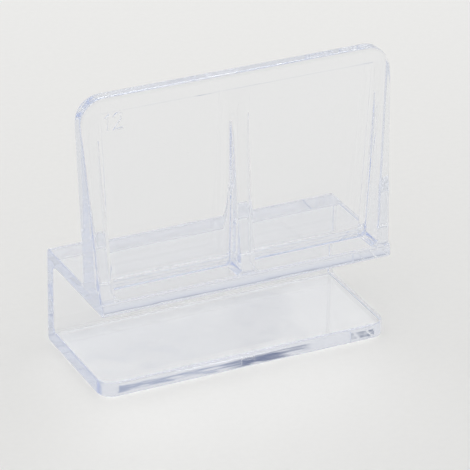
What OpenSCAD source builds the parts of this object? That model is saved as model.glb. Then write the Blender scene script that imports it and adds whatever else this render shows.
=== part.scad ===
// One-piece clear moulded clip that seats a glass lid on the rim of a tank.
// The object stands on its flange: X runs along its length, the channel opens towards -Y,
// and the upright plate rises from the shelf. The origin is under the middle of the body.

/* [Tank glass] */
// Thickness of the glass pane that the channel takes
glass_t = 12; // [6:0.5:15]
// Room left between the pane and the channel
glass_clearance = 0.3; // [0.1:0.05:0.8]
// Depth of the channel from its mouth to the back wall
channel_depth = 20; // [14:0.5:30]
// How much the channel narrows from its mouth to the back wall
channel_draft = 0.15; // [0:0.05:0.4]

/* [Body] */
// Length of the flange, the back wall and the shelf
body_l = 52; // [36:1:90]
// Thickness of the bottom flange
flange_t = 2.6; // [2:0.1:4]
// Thickness of the shelf that carries the upright plate
shelf_t = 2.3; // [1.8:0.1:4]
// Thickness of the back wall
wall_t = 2.5; // [1.8:0.1:4]
// Radius of the two front corners of the flange, seen from above
flange_corner_r = 2.8; // [1:0.1:6]

/* [Upright plate] */
// Height of the plate above the shelf
plate_h = 33.6; // [20:0.5:60]
// Thickness of the plate
plate_t = 2.6; // [1.8:0.1:4]
// Distance from the front edge of the shelf to the plate
plate_setback = 5; // [3:0.1:7]
// How far each side of the plate stands out past the shelf at the top
plate_flare = 1.7; // [0:0.1:3]
// Radius of the two top corners of the plate
plate_corner_r = 4.2; // [1:0.1:8]

/* [Gusset ribs] */
// Number of ribs, counting the two at the ends
rib_count = 3; // [2:1:5]
// Thickness of a rib at its front edge
rib_t = 2.4; // [1.4:0.1:3]
// How much a rib thickens on each side between its front edge and the plate
rib_draft = 0.2; // [0.05:0.05:0.4]
// Distance from the top of the plate down to the tips of the ribs
rib_tip_drop = 2.6; // [1:0.1:6]

/* [Edges] */
// Fillet radius where the ribs, the plate and the shelf meet
root_r = 1; // [0.5:0.1:1.5]
// Fillet radius inside the channel, at the back wall
channel_r = 1; // [0.5:0.1:2]
// Radius of the outer corners between the back wall, the flange and the shelf
heel_r = 0.9; // [0.3:0.1:1.5]
// Radius of the front lips of the flange and the shelf
lip_r = 0.4; // [0.2:0.05:0.7]
// Width of the moulding gate's stub on the flange's front lip
gate_w = 2.4; // [1:0.1:4]
// Height of that stub
gate_h = 1.1; // [0.6:0.1:1.6]
// How far that stub stands out
gate_proud = 0.15; // [0.05:0.05:0.3]

/* [Hidden] */
$fn = 64;
// Overlap that joins two shapes into one solid
bite = 0.3;
// How far a cutting shape reaches past the solid that it cuts
over = 2;
gap = glass_t + glass_clearance;
body_d = channel_depth + wall_t;
front_y = -body_d / 2;
back_y = body_d / 2;
wall_y = back_y - wall_t;
shelf_z = flange_t + gap;
shelf_top = shelf_z + shelf_t;
plate_front = front_y + plate_setback;
plate_back = plate_front + plate_t;
plate_top = shelf_top + plate_h;
rib_tip_z = plate_top - rib_tip_drop;
rib_foot_y = front_y + lip_r;
rib_run = plate_front - rib_foot_y;
flare_angle = atan(plate_flare / plate_h);
draft_angle = atan(rib_draft / rib_run);
// The end ribs sit flush with the ends of the shelf, and the others are spread evenly between
end_rib_x = body_l / 2 - rib_t / 2;
clear_plastic = [0.84, 0.88, 0.96, 0.45];

// Square corner less a quarter circle, with its sharp point at the origin. Added in an inside
// corner it is a fillet, and cut from an outside corner it rounds the edge.
module web(r) {
    difference() {
        translate([-bite, -bite]) square(r + bite);
        translate([r, r]) circle(r);
    }
}

// A web at point p, opening towards the quadrant that turn gives
module web_at(p, turn, r) {
    translate(p) rotate(turn) web(r);
}

// The same for the corner of three faces, opening towards +X, +Y and +Z
module ball_web(r) {
    difference() {
        translate([-bite, -bite, -bite]) cube(r + bite);
        translate([r, r, r]) sphere(r);
    }
}

// Runs a section drawn in the YZ plane along X, centred on the origin
module along_x(l) {
    translate([-l / 2, 0, 0]) rotate([90, 0, 90]) linear_extrude(l) children();
}

// Runs a section drawn in the XZ plane along Y, from y0 to y1
module along_y(y0, y1) {
    translate([0, y1, 0]) rotate([90, 0, 0]) linear_extrude(y1 - y0) children();
}

// Space for the tank glass: open at the front, with draft on both faces and filleted corners
module channel_section() {
    mouth_y = front_y - over;
    slope = channel_draft / 2 / channel_depth;
    low = flange_t + slope * channel_depth;
    high = shelf_z - slope * channel_depth;
    difference() {
        polygon([
            [mouth_y, flange_t - slope * over],
            [wall_y, low],
            [wall_y, high],
            [mouth_y, shelf_z + slope * over]
        ]);
        web_at([wall_y, low], 90, channel_r);
        web_at([wall_y, high], 180, channel_r);
    }
}

// Flange, back wall and shelf as one U section
module body_section() {
    difference() {
        translate([front_y, 0]) square([body_d, shelf_top]);
        channel_section();
        web_at([back_y, 0], 90, heel_r);
        web_at([back_y, shelf_top], 180, heel_r);
        web_at([front_y, 0], 0, lip_r);
        web_at([front_y, flange_t], 270, lip_r);
        web_at([front_y, shelf_z], 0, lip_r);
        web_at([front_y, shelf_top], 270, lip_r);
    }
}

// Rounds the flange's two front corners, seen from above
module flange_corners() {
    translate([0, 0, -over]) linear_extrude(flange_t + over + gap / 2) {
        web_at([-body_l / 2, front_y], 0, flange_corner_r);
        web_at([body_l / 2, front_y], 90, flange_corner_r);
    }
}

// Stub left by the moulding gate at the middle of the flange's front lip
module gate_stub() {
    translate([-gate_w / 2, front_y - gate_proud, (flange_t - gate_h) / 2])
        cube([gate_w, gate_proud + bite, gate_h]);
}

module channel_body() {
    difference() {
        along_x(body_l) body_section();
        flange_corners();
    }
    gate_stub();
}

// Front view of the plate: its sides flare towards the top and its top corners are round
module plate_outline() {
    side = body_l / 2;
    arc_z = plate_top - plate_corner_r;
    arc_x = side + (arc_z - shelf_top) * tan(flare_angle) - plate_corner_r / cos(flare_angle);
    touch_x = arc_x + plate_corner_r * cos(flare_angle);
    touch_z = arc_z - plate_corner_r * sin(flare_angle);
    polygon([
        [-side, shelf_z + shelf_t / 2],
        [side, shelf_z + shelf_t / 2],
        [side, shelf_top],
        [touch_x, touch_z],
        [arc_x, arc_z],
        [arc_x, plate_top],
        [-arc_x, plate_top],
        [-arc_x, arc_z],
        [-touch_x, touch_z],
        [-side, shelf_top]
    ]);
    translate([arc_x, arc_z]) circle(plate_corner_r);
    translate([-arc_x, arc_z]) circle(plate_corner_r);
}

// Top view of a rib of thickness t: thickest at the plate, and filleted into it
module rib_plan(t) {
    front_half = t / 2;
    root_half = front_half + rib_draft;
    polygon([
        [-front_half, rib_foot_y],
        [front_half, rib_foot_y],
        [root_half, plate_front],
        [root_half, plate_front + bite],
        [-root_half, plate_front + bite],
        [-root_half, plate_front]
    ]);
    web_at([root_half, plate_front], 270, root_r);
    web_at([-root_half, plate_front], 180, root_r);
}

// Side view of a rib: its front edge slants from the shelf's lip up to the plate
module rib_side() {
    polygon([
        [rib_foot_y, shelf_top - bite],
        [rib_foot_y, shelf_top],
        [plate_front, rib_tip_z],
        [plate_front + bite, rib_tip_z],
        [plate_front + bite, shelf_top - bite]
    ]);
}

// Fillets at the foot of one side of a rib, ending in a round corner at the plate
module rib_foot_fillet(t) {
    translate([t / 2, rib_foot_y, shelf_top]) rotate([0, 0, -draft_angle])
        translate([0, rib_run, 0]) rotate([90, 0, 0]) linear_extrude(rib_run) web(root_r);
    translate([t / 2 + rib_draft, plate_front, shelf_top]) rotate([0, 0, -90])
        ball_web(root_r);
}

module rib(t) {
    intersection() {
        translate([0, 0, shelf_top - bite]) linear_extrude(plate_h) rib_plan(t);
        along_x(2 * (t + 2 * root_r)) rib_side();
    }
    rib_foot_fillet(t);
    mirror([1, 0, 0]) rib_foot_fillet(t);
}

// A rib in its place. It leans outward in step with the flare of the plate. The two end ribs
// reach past the ends of the plate, where its outline trims them flush.
module placed_rib(i) {
    side = 2 * i / (rib_count - 1) - 1;
    past = abs(side) == 1 ? bite : 0;
    translate([side * (end_rib_x + past), 0, shelf_top]) rotate([0, side * flare_angle, 0])
        translate([0, 0, -shelf_top]) rib(rib_t + 2 * past);
}

// Plate, ribs and their fillets, all trimmed to the outline of the plate
module upright() {
    along_y(plate_front, plate_back) plate_outline();
    intersection() {
        along_y(rib_foot_y, plate_back + root_r) plate_outline();
        union() {
            for (i = [0 : rib_count - 1]) placed_rib(i);
            along_x(body_l + 2 * plate_flare) web_at([plate_front, shelf_top], 90, root_r);
            along_x(body_l + 2 * plate_flare) web_at([plate_back, shelf_top], 0, root_r);
        }
    }
}

module lid_clip() {
    color(clear_plastic) {
        channel_body();
        upright();
    }
}

lid_clip();
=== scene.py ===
# A clear moulded clip for a glass tank lid, standing on its flange on a plain pale floor.
# Lengths are in metres. X runs along the clip, its channel opens towards -Y, and +Z is up.
import math

import bmesh
import bpy
from mathutils import Matrix, Vector


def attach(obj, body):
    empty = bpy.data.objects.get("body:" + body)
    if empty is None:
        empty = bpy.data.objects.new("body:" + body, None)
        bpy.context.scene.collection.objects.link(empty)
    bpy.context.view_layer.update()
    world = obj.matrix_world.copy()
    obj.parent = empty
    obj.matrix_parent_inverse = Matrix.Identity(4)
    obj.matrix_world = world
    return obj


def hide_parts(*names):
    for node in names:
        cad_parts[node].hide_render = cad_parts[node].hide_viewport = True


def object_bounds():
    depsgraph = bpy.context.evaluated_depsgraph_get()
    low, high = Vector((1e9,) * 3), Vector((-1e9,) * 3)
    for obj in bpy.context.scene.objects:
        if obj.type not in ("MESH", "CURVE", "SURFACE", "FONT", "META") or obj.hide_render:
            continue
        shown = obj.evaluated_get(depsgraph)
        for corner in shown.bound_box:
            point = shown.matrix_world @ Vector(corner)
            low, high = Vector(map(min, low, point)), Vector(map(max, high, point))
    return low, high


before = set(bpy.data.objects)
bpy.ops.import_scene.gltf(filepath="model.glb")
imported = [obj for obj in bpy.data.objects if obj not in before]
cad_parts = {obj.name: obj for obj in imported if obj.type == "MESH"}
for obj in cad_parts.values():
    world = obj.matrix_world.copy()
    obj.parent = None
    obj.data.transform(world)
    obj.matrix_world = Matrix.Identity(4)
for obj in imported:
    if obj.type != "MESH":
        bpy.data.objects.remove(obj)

MM = 0.001
cad_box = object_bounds()

# Camera: the photograph is 470 pixels wide, and the clip's corners in it give this view
PHOTO_PX = 470
FOCAL_PX = 3233.6
SENSOR_WIDTH = 36.0
CAMERA_AZIMUTH = math.radians(-26.564)
CAMERA_ELEVATION = math.radians(27.037)
CAMERA_ROLL = math.radians(0.9)
CAMERA_PLACE = Vector((-209.16, -424.09, 260.49)) * MM
NEAREST = 0.01
FARTHEST = 100

# Softening of the moulded edges: rounder around the plate than on the shelf and the flange
RIM_RADIUS = 0.65 * MM
EDGE_RADIUS = 0.25 * MM
EDGE_STEPS = 8
# The plate's rim is what lies above this height or further out than this from the middle
RIM_FOOT = 19 * MM
RIM_REACH = 25.5 * MM
# An edge that climbs and leans this much is the sloping edge of a rib, and stays crisp
RIB_CLIMB = 10 * MM
RIB_LEAN = 1 * MM
# The body's front plane: the gate stub stands out of it and keeps its crisp edges
BODY_FRONT_Y = -11.25 * MM
# Only an edge that turns more than this is softened
SHARP_ANGLE = math.radians(40)
# Points this close are one point, and faces that turn less than this are one face
WELD = 0.01 * MM
FLAT_ANGLE = math.radians(0.2)
# Faces shade as one curve up to the first angle, and beside a large flat up to the second
CURVE_ANGLE = math.radians(14)
FLAT_EDGE_ANGLE = math.radians(6.5)
LARGE_FLAT = 20 * MM ** 2

# The raised 12 near the top of the plate: the thickness of the tank's glass, in mm
PLATE_FACE_Y = -6.25 * MM
DIGIT_HEIGHT = 2.6 * MM
DIGIT_STROKE = 0.24 * MM
STROKE_ROUNDNESS = 7
DIGIT_ONE_AT = Vector((-23.3, 0, 45.2)) * MM
DIGIT_TWO_AT = Vector((-21.7, 0, 45.2)) * MM
# Points of the strokes in digit heights, to the right of and above a digit's lower left corner
ONE_POINTS = [(0.05, 0.8), (0.25, 1.0), (0.25, 0.0)]
TWO_BOW = 0.27
TWO_TURNS = [math.radians(165 - 20 * step) for step in range(11)]
TWO_FOOT = [(0.0, 0.0), (0.58, 0.0)]

# The plastic: its tint and haze vary a little with one noise, and its faces ripple with another
PLASTIC_IOR = 1.49
TINT_SCALE = 60
TINT_DETAIL = 2
TINT_STOPS = [(0.0, (0.98, 0.984, 0.996, 1)), (1.0, (0.992, 0.995, 1.0, 1))]
HAZE_STARTS = 0.35
HAZE_FULL = 0.75
HAZE_ROUGHNESS = 0.03
RIPPLE_SCALE = 110
RIPPLE_WARP = 0.6
RIPPLE_STRENGTH = 0.3
RIPPLE_DEPTH = 0.06 * MM
BODY_COLOR = (0.8, 0.85, 0.98, 1)
BODY_DENSITY = 11
# Share of a lamp's light that passes each face of the plastic
LAMP_SHARE = (0.98, 0.98, 0.982)

# Flow lines in the flange's front: how often they change along X, Y and Z, and their depth.
# That face lies below FLOW_TOP, and the Y of its normal is below FLOW_NORMAL_Y
FLOW_SCALE = (35, 200, 1300)
FLOW_DEPTH = 0.02 * MM
FLOW_TOP = 3 * MM
FLOW_NORMAL_Y = -0.9

FLOOR_DROP = 0.02 * MM
FLOOR_SIZE = 6.0
FLOOR_STOPS = [(0.0, (0.80, 0.795, 0.775, 1)), (1.0, (0.83, 0.825, 0.805, 1))]
FLOOR_MOTTLE = 900
FLOOR_DETAIL = 3
FLOOR_ROUGHNESS = 0.9
FLOOR_SPECULAR = 0.1

# Square lamps: the name, the place and the width in metres, and the power in watts
LAMPS = [
    ("key", (0.18, 0.41, 0.48), 0.24, 0.98),
    ("fill", (-0.6, -0.5, 0.6), 0.6, 0.4),
]
# The studio's light from the horizon up: the sine of the height and the colour
SKY_STOPS = [(0.0, (0.5, 0.53, 0.62, 1)), (0.22, (0.86, 0.88, 0.94, 1)), (0.6, (1, 1, 1, 1))]
SKY_STRENGTH = 0.79
# Dark cards behind the clip, which draw the streaks in its edges: the turn from +Y towards +X,
# the height, half the width, half the depth, the soft border (all degrees) and the colour
CARDS = [
    (24.6, 29.3, 2.0, 0.15, 0.5, (0.5, 0.55, 0.69, 1)),
    (27.1, 29.0, 0.3, 0.5, 0.6, (0.22, 0.26, 0.4, 1)),
    (-29.6, 28.6, 0.4, 0.4, 1.3, (0.28, 0.32, 0.42, 1)),
]
# Light is reflected many times inside the thin walls before it leaves them
LIGHT_BOUNCES = 160


def node(tree, kind, inputs=None, **settings):
    """Add a node. Each of its inputs takes a plain value, or a link from another socket."""
    new = tree.nodes.new(kind)
    for key, value in settings.items():
        setattr(new, key, value)
    for key, value in (inputs or {}).items():
        if isinstance(value, bpy.types.NodeSocket):
            tree.links.new(value, new.inputs[key])
        else:
            new.inputs[key].default_value = value
    return new


def color_ramp(tree, amount, stops):
    """The colour that stops give for amount."""
    ramp = node(tree, "ShaderNodeValToRGB", {"Fac": amount})
    first, *between, last = stops
    for stop, (place, color) in zip(ramp.color_ramp.elements, (first, last)):
        stop.position = place
        stop.color = color
    for place, color in between:
        ramp.color_ramp.elements.new(place).color = color
    return ramp.outputs["Color"]


def calc(tree, operation, *values):
    """The result of a math node."""
    return node(tree, "ShaderNodeMath", dict(enumerate(values)), operation=operation).outputs["Value"]


def shader(name):
    """A new material with its node tree and its Principled shader."""
    material = bpy.data.materials.new(name)
    material.use_nodes = True
    tree = material.node_tree
    return material, tree, tree.nodes["Principled BSDF"]


def clear_plastic():
    """Clear moulded plastic with a faint blue body colour and a slight ripple in its faces."""
    material, tree, plastic = shader("clear_plastic")
    plastic.inputs["Transmission Weight"].default_value = 1.0
    plastic.inputs["IOR"].default_value = PLASTIC_IOR
    place = node(tree, "ShaderNodeTexCoord").outputs["Object"]

    tint = node(tree, "ShaderNodeTexNoise",
                {"Vector": place, "Scale": TINT_SCALE, "Detail": TINT_DETAIL})
    amount = tint.outputs["Fac"]
    tree.links.new(color_ramp(tree, amount, TINT_STOPS), plastic.inputs["Base Color"])
    haze = node(tree, "ShaderNodeMapRange",
                {"Value": amount, "From Min": HAZE_STARTS, "From Max": HAZE_FULL,
                 "To Min": 0.0, "To Max": HAZE_ROUGHNESS})
    tree.links.new(haze.outputs["Result"], plastic.inputs["Roughness"])

    swell = node(tree, "ShaderNodeTexNoise",
                 {"Vector": place, "Scale": RIPPLE_SCALE, "Detail": 1, "Distortion": RIPPLE_WARP})
    ripple = node(tree, "ShaderNodeBump",
                  {"Height": swell.outputs["Fac"], "Strength": RIPPLE_STRENGTH,
                   "Distance": RIPPLE_DEPTH})
    lines = node(tree, "ShaderNodeBump",
                 {"Height": flow_lines(tree, place), "Strength": flange_front(tree, place),
                  "Distance": FLOW_DEPTH, "Normal": ripple.outputs["Normal"]})
    tree.links.new(lines.outputs["Normal"], plastic.inputs["Normal"])

    # Lamps shine through the walls, a little weaker after each face
    rays = node(tree, "ShaderNodeLightPath")
    through = node(tree, "ShaderNodeBsdfTransparent", {"Color": (*LAMP_SHARE, 1)})
    either = node(tree, "ShaderNodeMixShader",
                  {"Fac": rays.outputs["Is Shadow Ray"], 1: plastic.outputs["BSDF"],
                   2: through.outputs["BSDF"]})
    body = node(tree, "ShaderNodeVolumeAbsorption",
                {"Color": BODY_COLOR, "Density": BODY_DENSITY})
    output = tree.nodes["Material Output"]
    tree.links.new(either.outputs["Shader"], output.inputs["Surface"])
    tree.links.new(body.outputs["Volume"], output.inputs["Volume"])
    return material


def flow_lines(tree, place):
    """Height of fine lines that run along X."""
    stretched = node(tree, "ShaderNodeMapping", {"Vector": place, "Scale": FLOW_SCALE})
    flow = node(tree, "ShaderNodeTexNoise",
                {"Vector": stretched.outputs["Vector"], "Scale": 1, "Detail": 1})
    return flow.outputs["Fac"]


def flange_front(tree, place):
    """1 on the flange's front face and 0 elsewhere."""
    facing = node(tree, "ShaderNodeNewGeometry").outputs["True Normal"]
    facing_y = node(tree, "ShaderNodeSeparateXYZ", {"Vector": facing}).outputs["Y"]
    height = node(tree, "ShaderNodeSeparateXYZ", {"Vector": place}).outputs["Z"]
    front = calc(tree, "LESS_THAN", facing_y, FLOW_NORMAL_Y)
    low = calc(tree, "LESS_THAN", height, FLOW_TOP)
    return calc(tree, "MULTIPLY", front, low)


def pale_floor():
    """A plain off-white ground with a barely visible mottle."""
    material, tree, ground = shader("pale_floor")
    place = node(tree, "ShaderNodeTexCoord").outputs["Object"]
    mottle = node(tree, "ShaderNodeTexNoise",
                  {"Vector": place, "Scale": FLOOR_MOTTLE, "Detail": FLOOR_DETAIL})
    tone = color_ramp(tree, mottle.outputs["Fac"], FLOOR_STOPS)
    tree.links.new(tone, ground.inputs["Base Color"])
    ground.inputs["Roughness"].default_value = FLOOR_ROUGHNESS
    ground.inputs["Specular IOR Level"].default_value = FLOOR_SPECULAR
    return material


def shown(name, data):
    """A new object in the scene."""
    thing = bpy.data.objects.new(name, data)
    bpy.context.scene.collection.objects.link(thing)
    return thing


def applied(shape):
    """The object's mesh with its modifiers applied."""
    graph = bpy.context.evaluated_depsgraph_get()
    graph.update()
    return bpy.data.meshes.new_from_object(shape.evaluated_get(graph))


def tube(name, points, radius):
    """A round stroke through points, as a closed mesh object."""
    curve = bpy.data.curves.new(name, "CURVE")
    curve.dimensions = "3D"
    curve.bevel_depth = radius
    curve.bevel_resolution = STROKE_ROUNDNESS
    curve.use_fill_caps = True
    line = curve.splines.new("POLY")
    line.points.add(len(points) - 1)
    for place, point in zip(line.points, points):
        place.co = (*point, 1)
    shape = shown(name, curve)
    mesh = applied(shape)
    bpy.data.objects.remove(shape)
    return shown(name, mesh)


def digit_strokes():
    """The strokes of 1 and 2, standing half out of the plate's front face."""
    def on_plate(corner, points):
        return [Vector((corner.x + x * DIGIT_HEIGHT, PLATE_FACE_Y, corner.z + z * DIGIT_HEIGHT))
                for x, z in points]

    arc = [(TWO_BOW + TWO_BOW * math.cos(turn), 1 - TWO_BOW + TWO_BOW * math.sin(turn))
           for turn in TWO_TURNS]
    return [tube("one", on_plate(DIGIT_ONE_AT, ONE_POINTS), DIGIT_STROKE),
            tube("two", on_plate(DIGIT_TWO_AT, arc + TWO_FOOT), DIGIT_STROKE)]


def edge_roundness(edge):
    """How round an edge becomes: 1 on the plate's rim, 0 where it stays crisp."""
    ends = [vert.co for vert in edge.verts]
    on_gate = min(end.y for end in ends) < BODY_FRONT_Y - WELD
    if on_gate or not edge.is_convex or edge.calc_face_angle() < SHARP_ANGLE:
        return 0.0
    outside = min(abs(end.x) for end in ends) > RIM_REACH
    run = ends[1] - ends[0]
    if abs(run.z) > RIB_CLIMB and abs(run.y) > RIB_LEAN and not outside:
        return 0.0
    above = min(end.z for end in ends) > RIM_FOOT
    at_end = outside and max(end.z for end in ends) > RIM_FOOT
    return 1.0 if above or at_end else EDGE_RADIUS / RIM_RADIUS


def moulded_clip():
    """The clip's solid with softened edges, and with the raised 12 joined on."""
    form = bmesh.new()
    form.from_mesh(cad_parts["lid_clip"].data)
    bmesh.ops.remove_doubles(form, verts=form.verts, dist=WELD)
    bmesh.ops.dissolve_limit(form, angle_limit=FLAT_ANGLE, verts=form.verts, edges=form.edges)
    roundness = form.edges.layers.float.new("bevel_weight_edge")
    for edge in form.edges:
        edge[roundness] = edge_roundness(edge)
    mesh = bpy.data.meshes.new("clip")
    form.to_mesh(mesh)
    form.free()
    mesh.materials.clear()
    clip = shown("clip", mesh)

    soften = clip.modifiers.new("soften", "BEVEL")
    soften.width = RIM_RADIUS
    soften.segments = EDGE_STEPS
    soften.limit_method = "WEIGHT"
    soften.use_clamp_overlap = False
    clip.data = applied(clip)
    clip.modifiers.clear()

    strokes = digit_strokes()
    for stroke in strokes:
        join = clip.modifiers.new("join", "BOOLEAN")
        join.operation = "UNION"
        join.solver = "EXACT"
        join.object = stroke
    clip.data = applied(clip)
    clip.modifiers.clear()
    for stroke in strokes:
        bpy.data.objects.remove(stroke)

    clip.data.shade_smooth()
    keep_flats(clip.data)
    even = clip.modifiers.new("even", "WEIGHTED_NORMAL")
    even.mode = "FACE_AREA"
    even.keep_sharp = True
    return clip


def keep_flats(mesh):
    """Mark as sharp each edge where shading across it would bend a flat or blur a corner."""
    form = bmesh.new()
    form.from_mesh(mesh)
    for edge in form.edges:
        area = max(face.calc_area() for face in edge.link_faces)
        limit = FLAT_EDGE_ANGLE if area > LARGE_FLAT else CURVE_ANGLE
        edge.smooth = edge.calc_face_angle() < limit
    form.to_mesh(mesh)
    form.free()


def make_floor():
    """The ground, just under the clip."""
    mesh = bpy.data.meshes.new("floor")
    half = FLOOR_SIZE / 2
    corners = [(-half, -half, 0), (half, -half, 0), (half, half, 0), (-half, half, 0)]
    mesh.from_pydata(corners, [], [(0, 1, 2, 3)])
    mesh.materials.append(pale_floor())
    floor = shown("floor", mesh)
    floor.location.z = cad_box[0].z - FLOOR_DROP


def area_light(name, place, size, power):
    """A square soft lamp that faces the clip and isn't seen through it."""
    lamp = bpy.data.lights.new(name, "AREA")
    lamp.size = size
    lamp.energy = power
    light = shown(name, lamp)
    light.location = place
    light.rotation_mode = "QUATERNION"
    aim = (cad_box[0] + cad_box[1]) / 2 - light.location
    light.rotation_quaternion = aim.to_track_quat("-Z", "Y")
    light.visible_transmission = False


def near_angle(tree, angle, middle, half, border):
    """1 where angle is within half of middle, falling softly to 0 over border; all degrees."""
    offset = calc(tree, "SUBTRACT", angle, math.radians(middle))
    near = node(tree, "ShaderNodeMapRange",
                {"Value": calc(tree, "ABSOLUTE", offset),
                 "From Min": math.radians(half + border), "From Max": math.radians(half)},
                interpolation_type="SMOOTHSTEP")
    return near.outputs["Result"]


def with_card(tree, angles, behind, turn, height, half_turn, half_height, border, tone):
    """The studio's colour at the given angles, with a soft-edged card in front of it."""
    inside = calc(tree, "MULTIPLY",
                    near_angle(tree, angles[0], turn, half_turn, border),
                    near_angle(tree, angles[1], height, half_height, border))
    mix = node(tree, "ShaderNodeMix", {"Factor": inside, "A": behind, "B": tone},
               data_type="RGBA")
    return mix.outputs["Result"]


def studio():
    """Soft lamps above, and a sky that darkens towards the horizon, with its cards."""
    for lamp in LAMPS:
        area_light(*lamp)
    world = bpy.data.worlds.new("studio")
    world.use_nodes = True
    bpy.context.scene.world = world
    tree = world.node_tree
    ray = node(tree, "ShaderNodeTexCoord").outputs["Generated"]
    along = node(tree, "ShaderNodeSeparateXYZ", {"Vector": ray}).outputs
    angles = (calc(tree, "ARCTAN2", along["X"], along["Y"]),
              calc(tree, "ARCSINE", along["Z"]))
    tone = color_ramp(tree, along["Z"], SKY_STOPS)
    for card in CARDS:
        tone = with_card(tree, angles, tone, *card)
    back = tree.nodes["Background"]
    tree.links.new(tone, back.inputs["Color"])
    back.inputs["Strength"].default_value = SKY_STRENGTH


def make_camera():
    """The photograph's view: right, up and back are the camera's own axes."""
    lens = bpy.data.cameras.new("camera")
    lens.sensor_width = SENSOR_WIDTH
    lens.lens = FOCAL_PX / PHOTO_PX * SENSOR_WIDTH
    lens.clip_start = NEAREST
    lens.clip_end = FARTHEST
    sin_a, cos_a = math.sin(CAMERA_AZIMUTH), math.cos(CAMERA_AZIMUTH)
    sin_e, cos_e = math.sin(CAMERA_ELEVATION), math.cos(CAMERA_ELEVATION)
    right = Vector((cos_a, sin_a, 0))
    back = Vector((sin_a * cos_e, -cos_a * cos_e, sin_e))
    up = back.cross(right)
    turned_right = right * math.cos(CAMERA_ROLL) + up * math.sin(CAMERA_ROLL)
    turned_up = up * math.cos(CAMERA_ROLL) - right * math.sin(CAMERA_ROLL)
    turn = Matrix((turned_right, turned_up, back)).transposed()
    camera = shown("camera", lens)
    camera.matrix_world = Matrix.Translation(CAMERA_PLACE) @ turn.to_4x4()
    bpy.context.scene.camera = camera


make_camera()
make_floor()
studio()
clip = moulded_clip()
clip.data.materials.clear()
clip.data.materials.append(clear_plastic())
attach(clip, "root")
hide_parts("lid_clip")

scene = bpy.context.scene
scene.view_settings.view_transform = "Standard"
scene.cycles.use_denoising = True
scene.cycles.max_bounces = LIGHT_BOUNCES
scene.cycles.glossy_bounces = LIGHT_BOUNCES
scene.cycles.transmission_bounces = LIGHT_BOUNCES
